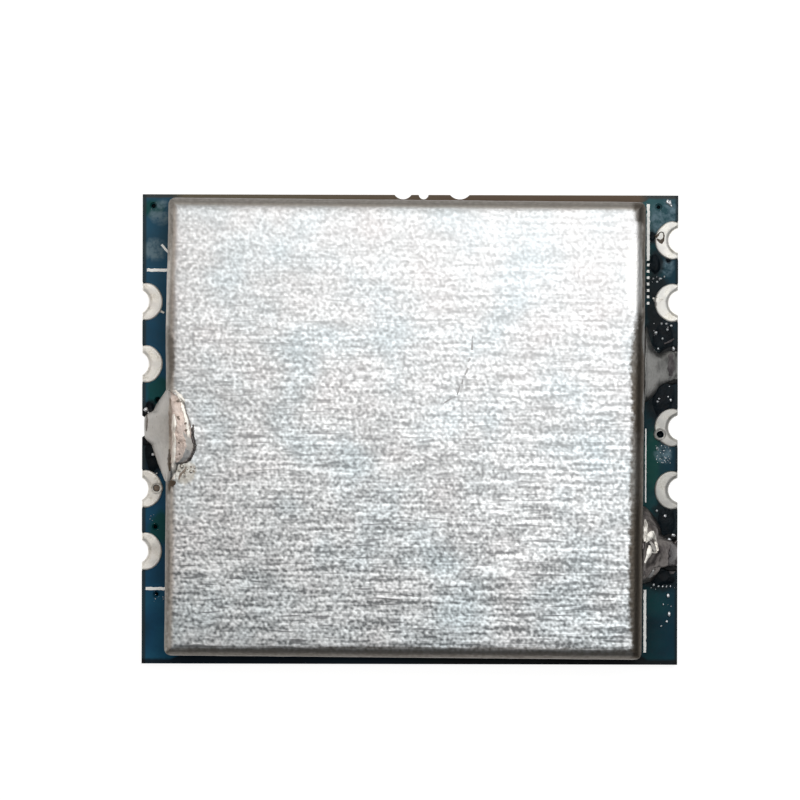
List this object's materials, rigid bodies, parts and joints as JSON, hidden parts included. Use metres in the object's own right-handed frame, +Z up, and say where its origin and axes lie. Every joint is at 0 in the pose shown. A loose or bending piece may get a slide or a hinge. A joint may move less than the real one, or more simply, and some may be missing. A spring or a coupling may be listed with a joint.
{
  "type": "fpv video transmitter module",
  "caption": "Small radio transmitter module: castellated circuit board under a soldered brushed tinplate shield can, sending analogue video to an aerial.",
  "frame": {"origin": "middle of the board's underside", "axes": "+Z up out of the shield can, +X from the shorter row of half-holes to the longer one, +Y along the rows towards the edge with the snapped tabs"},
  "size_m": [0.0218, 0.019, 0.0032],
  "materials": {
    "board_mask": "glossy dark teal solder mask on glass laminate",
    "tinplate": "bright tinplate brushed from side to side",
    "solder": "dull hand-made solder",
    "tinned_copper": "hot-air levelled tin",
    "chip_plastic": "black moulding compound",
    "crystal_case": "satin",
    "capacitor_ceramic": "satin",
    "resistor_ceramic": "satin",
    "ferrite": "matt",
    "inductor_winding": "enamelled copper",
    "filter_ceramic": "satin"
  },
  "bodies": {
    "root": {"circuit_board": "board_mask", "shield_can": "tinplate", "solder_left": "solder", "solder_right_upper": "solder", "solder_right_lower": "solder", "pad_left_1": "tinned_copper", "pad_left_2": "tinned_copper", "pad_left_3": "tinned_copper", "pad_left_4": "tinned_copper", "pad_left_5": "tinned_copper", "pad_right_1": "tinned_copper", "pad_right_2": "tinned_copper", "pad_right_3": "tinned_copper", "pad_right_4": "tinned_copper", "pad_right_5": "tinned_copper", "pad_right_6": "tinned_copper", "transmitter_chip": "chip_plastic", "power_amplifier_chip": "chip_plastic", "voltage_regulator": "chip_plastic", "reference_crystal": "crystal_case", "decoupling_capacitor_1": "capacitor_ceramic", "decoupling_capacitor_2": "capacitor_ceramic", "decoupling_capacitor_3": "capacitor_ceramic", "decoupling_capacitor_4": "capacitor_ceramic", "audio_coupling_capacitor_1": "capacitor_ceramic", "audio_coupling_capacitor_2": "capacitor_ceramic", "supply_input_capacitor": "capacitor_ceramic", "supply_output_capacitor": "capacitor_ceramic", "matching_capacitor_1": "capacitor_ceramic", "matching_capacitor_2": "capacitor_ceramic", "video_coupling_capacitor": "capacitor_ceramic", "loop_filter_capacitor_1": "capacitor_ceramic", "loop_filter_capacitor_2": "capacitor_ceramic", "crystal_load_capacitor_1": "capacitor_ceramic", "crystal_load_capacitor_2": "capacitor_ceramic", "channel_resistor_1": "resistor_ceramic", "channel_resistor_2": "resistor_ceramic", "channel_resistor_3": "resistor_ceramic", "video_termination_resistor": "resistor_ceramic", "loop_filter_resistor": "resistor_ceramic", "supply_bead": "ferrite", "amplifier_choke": "inductor_winding", "matching_inductor_1": "inductor_winding", "matching_inductor_2": "inductor_winding", "harmonic_filter": "filter_ceramic"}
  },
  "joints": []
}
